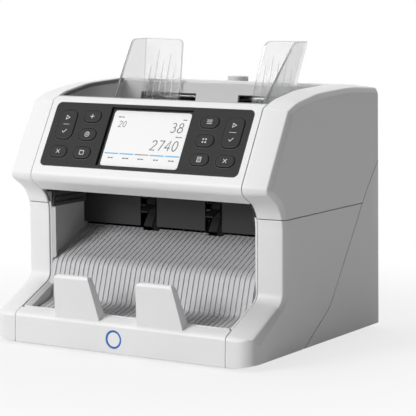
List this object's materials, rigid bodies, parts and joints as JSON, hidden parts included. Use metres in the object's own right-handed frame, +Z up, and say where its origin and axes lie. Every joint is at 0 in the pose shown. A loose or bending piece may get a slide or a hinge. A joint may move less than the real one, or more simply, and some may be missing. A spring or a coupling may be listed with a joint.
{
  "type": "banknote counter",
  "caption": "Tabletop banknote counter with a top hopper and two sliding clear guides, a sloping key and display panel and an open stacker pocket.",
  "frame": {"origin": "bottom centre of the bounding box, under the feet", "axes": "+X to the machine's right as seen from its front, +Y to its back, +Z up"},
  "size_m": [0.25, 0.2304, 0.247],
  "materials": {
    "white_shell": "fine satin",
    "badge": "gloss",
    "grey_shell": "satin",
    "light_grey": "satin",
    "black_plastic": "matte",
    "panel_plastic": "fine matte",
    "screen": "smooth",
    "board": "matte",
    "strip": "matte",
    "clear_guide": "clear",
    "steel": "brushed",
    "plate_steel": "zinc plated",
    "rubber": "matte",
    "motor_paint": "satin"
  },
  "bodies": {
    "frame": {"base_tray": "white_shell", "front_bezel": "white_shell", "badge_disc": "badge", "stacker_plate": "grey_shell", "left_pocket_liner": "light_grey", "right_pocket_liner": "light_grey", "pocket_hood": "black_plastic", "head_cover": "white_shell", "control_panel": "panel_plastic", "display_screen": "screen", "keypad_board": "board", "left_upper_cover": "white_shell", "right_upper_cover": "white_shell", "left_lower_cover": "white_shell", "right_lower_cover": "white_shell", "rear_housing": "white_shell", "top_deck": "white_shell", "hopper_tray": "grey_shell", "left_hopper_strip": "strip", "right_hopper_strip": "strip", "guide_rail": "steel", "separator_beam": "black_plastic", "sensor_beam": "black_plastic", "left_side_plate": "plate_steel", "right_side_plate": "plate_steel", "tie_bars": "steel", "shaft_bearings": "steel", "drive_motor": "motor_paint", "drive_belts": "rubber", "main_board": "board", "power_supply": "plate_steel", "power_inlet": "black_plastic", "data_ports": "black_plastic", "rubber_feet": "rubber", "housing_screws": "steel"},
    "left_guide": {"left_note_guide": "clear_guide"},
    "right_guide": {"right_note_guide": "clear_guide"},
    "drum": {"drum_shaft": "steel", "feed_drum": "rubber"},
    "pickup": {"pickup_shaft": "steel", "pickup_wheels": "rubber"},
    "stacker": {"stacker_shaft": "steel", "stacker_wheels": "strip"},
    "motor_rotor": {"motor_pulley": "steel"},
    "rear_door": {"rear_door": "white_shell"},
    "power_rocker": {"power_rocker": "black_plastic"},
    "gap_knob": {"gap_knob": "grey_shell"},
    "key_left_start": {"key_left_start": "panel_plastic"},
    "key_left_low": {"key_left_low": "panel_plastic"},
    "key_left_top": {"key_left_top": "panel_plastic"},
    "key_left_middle": {"key_left_middle": "panel_plastic"},
    "key_left_bottom": {"key_left_bottom": "panel_plastic"},
    "key_right_start": {"key_right_start": "panel_plastic"},
    "key_right_low": {"key_right_low": "panel_plastic"},
    "key_right_top": {"key_right_top": "panel_plastic"},
    "key_right_middle": {"key_right_middle": "panel_plastic"},
    "key_right_bottom": {"key_right_bottom": "panel_plastic"}
  },
  "joints": [
    {"name": "key_left_start_press", "type": "slide", "parent": "frame", "child": "key_left_start", "axis": [0, 0.8704, -0.4924], "range_m": [0, 0.001], "stiffness_N_per_m": 300},
    {"name": "key_left_low_press", "type": "slide", "parent": "frame", "child": "key_left_low", "axis": [0, 0.8704, -0.4924], "range_m": [0, 0.001], "stiffness_N_per_m": 300},
    {"name": "key_left_top_press", "type": "slide", "parent": "frame", "child": "key_left_top", "axis": [0, 0.8704, -0.4924], "range_m": [0, 0.001], "stiffness_N_per_m": 300},
    {"name": "key_left_middle_press", "type": "slide", "parent": "frame", "child": "key_left_middle", "axis": [0, 0.8704, -0.4924], "range_m": [0, 0.001], "stiffness_N_per_m": 300},
    {"name": "key_left_bottom_press", "type": "slide", "parent": "frame", "child": "key_left_bottom", "axis": [0, 0.8704, -0.4924], "range_m": [0, 0.001], "stiffness_N_per_m": 300},
    {"name": "key_right_start_press", "type": "slide", "parent": "frame", "child": "key_right_start", "axis": [0, 0.8704, -0.4924], "range_m": [0, 0.001], "stiffness_N_per_m": 300},
    {"name": "key_right_low_press", "type": "slide", "parent": "frame", "child": "key_right_low", "axis": [0, 0.8704, -0.4924], "range_m": [0, 0.001], "stiffness_N_per_m": 300},
    {"name": "key_right_top_press", "type": "slide", "parent": "frame", "child": "key_right_top", "axis": [0, 0.8704, -0.4924], "range_m": [0, 0.001], "stiffness_N_per_m": 300},
    {"name": "key_right_middle_press", "type": "slide", "parent": "frame", "child": "key_right_middle", "axis": [0, 0.8704, -0.4924], "range_m": [0, 0.001], "stiffness_N_per_m": 300},
    {"name": "key_right_bottom_press", "type": "slide", "parent": "frame", "child": "key_right_bottom", "axis": [0, 0.8704, -0.4924], "range_m": [0, 0.001], "stiffness_N_per_m": 300},
    {"name": "left_guide_slide", "type": "slide", "parent": "frame", "child": "left_guide", "axis": [1, 0, 0], "range_m": [-0.008, 0.033]},
    {"name": "right_guide_slide", "type": "slide", "parent": "frame", "child": "right_guide", "axis": [-1, 0, 0], "range_m": [-0.008, 0.033]},
    {"name": "drum_spin", "type": "hinge", "parent": "frame", "child": "drum", "pos_m": [0, -0.0154, 0.152], "axis": [1, 0, 0], "continuous": true},
    {"name": "pickup_spin", "type": "hinge", "parent": "frame", "child": "pickup", "pos_m": [0, 0.0071, 0.1696], "axis": [1, 0, 0], "continuous": true},
    {"name": "stacker_spin", "type": "hinge", "parent": "frame", "child": "stacker", "pos_m": [0, 0.0036, 0.109], "axis": [1, 0, 0], "continuous": true},
    {"name": "motor_spin", "type": "hinge", "parent": "frame", "child": "motor_rotor", "pos_m": [0, 0.0416, 0.075], "axis": [1, 0, 0], "continuous": true},
    {"name": "rear_door_hinge", "type": "hinge", "parent": "frame", "child": "rear_door", "pos_m": [0, 0.1122, 0.02753], "axis": [-1, 0, 0], "range_deg": [0, 85]},
    {"name": "power_rocker_tilt", "type": "hinge", "parent": "frame", "child": "power_rocker", "pos_m": [0.082, 0.11032, 0.05598], "axis": [1, 0, 0], "range_deg": [0, 10]},
    {"name": "gap_knob_turn", "type": "hinge", "parent": "frame", "child": "gap_knob", "pos_m": [0, 0.0816, 0.21], "axis": [0, 0, 1], "range_deg": [-150, 150]}
  ],
  "couplings": [
    {"joint": "right_guide_slide", "follows": "left_guide_slide", "ratio": 1},
    {"joint": "pickup_spin", "follows": "drum_spin", "ratio": 1},
    {"joint": "stacker_spin", "follows": "drum_spin", "ratio": 1},
    {"joint": "motor_spin", "follows": "drum_spin", "ratio": 2}
  ]
}
